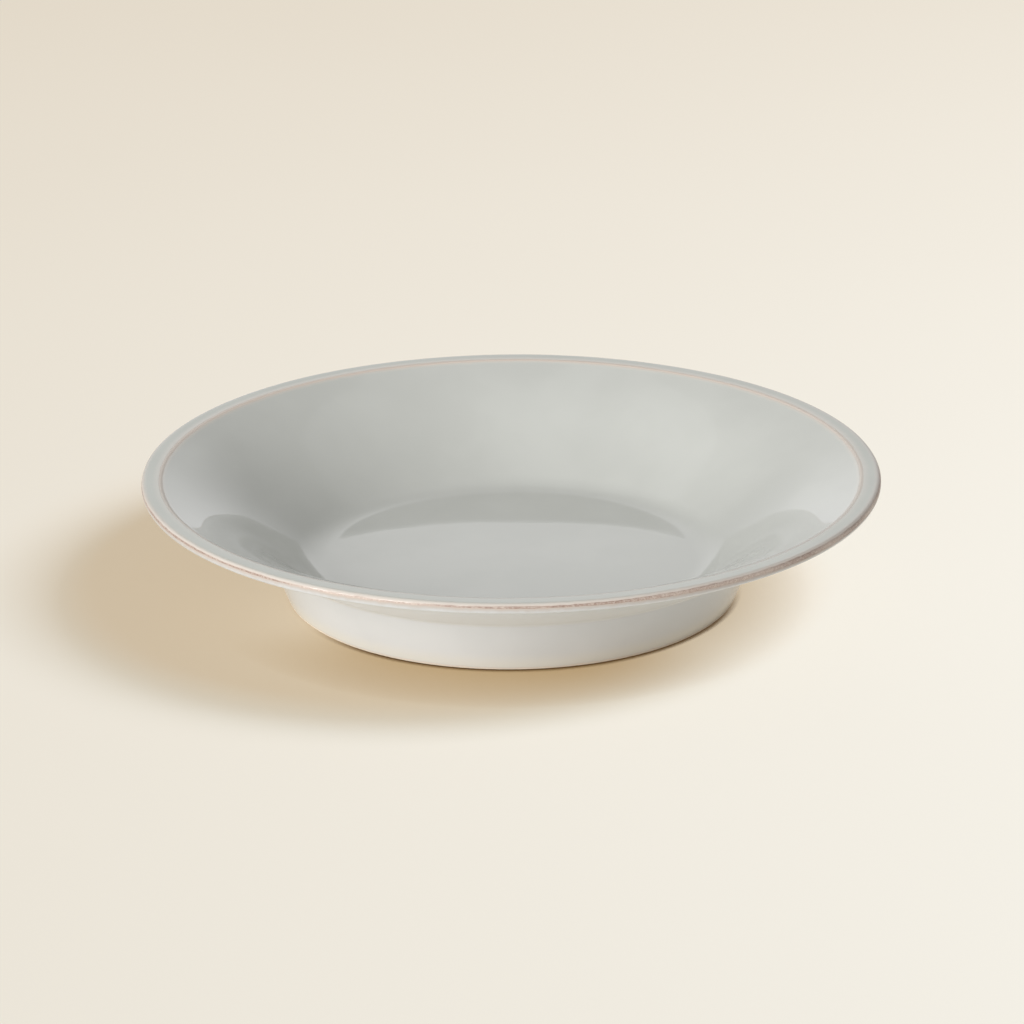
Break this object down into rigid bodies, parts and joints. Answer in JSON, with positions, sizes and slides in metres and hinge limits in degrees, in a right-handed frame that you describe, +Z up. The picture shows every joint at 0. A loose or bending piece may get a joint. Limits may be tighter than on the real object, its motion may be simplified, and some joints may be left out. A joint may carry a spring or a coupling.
{
  "type": "pasta bowl",
  "caption": "Wide, shallow glazed stoneware bowl on a low foot ring, with a flared wall, a flat band round the rim and bare clay lines along the rim's edges.",
  "frame": {"origin": "centre of the foot ring's standing face, on the table", "axes": "+Z up along the bowl's axis of symmetry, X and Y free, because the bowl is round"},
  "size_m": [0.25, 0.25, 0.0421],
  "materials": {
    "clay": "bare fired stoneware, matt and slightly rough",
    "inside_glaze": "pale grey gloss glaze",
    "rim_glaze": "pale grey gloss glaze, thinner and creamy at its edges",
    "outside_glaze": "pale grey gloss glaze"
  },
  "bodies": {
    "root": {"stoneware_body": "clay", "foot_ring": "clay", "well_glaze": "inside_glaze", "rim_glaze": "rim_glaze", "outer_glaze": "outside_glaze", "base_glaze": "outside_glaze"}
  },
  "joints": []
}
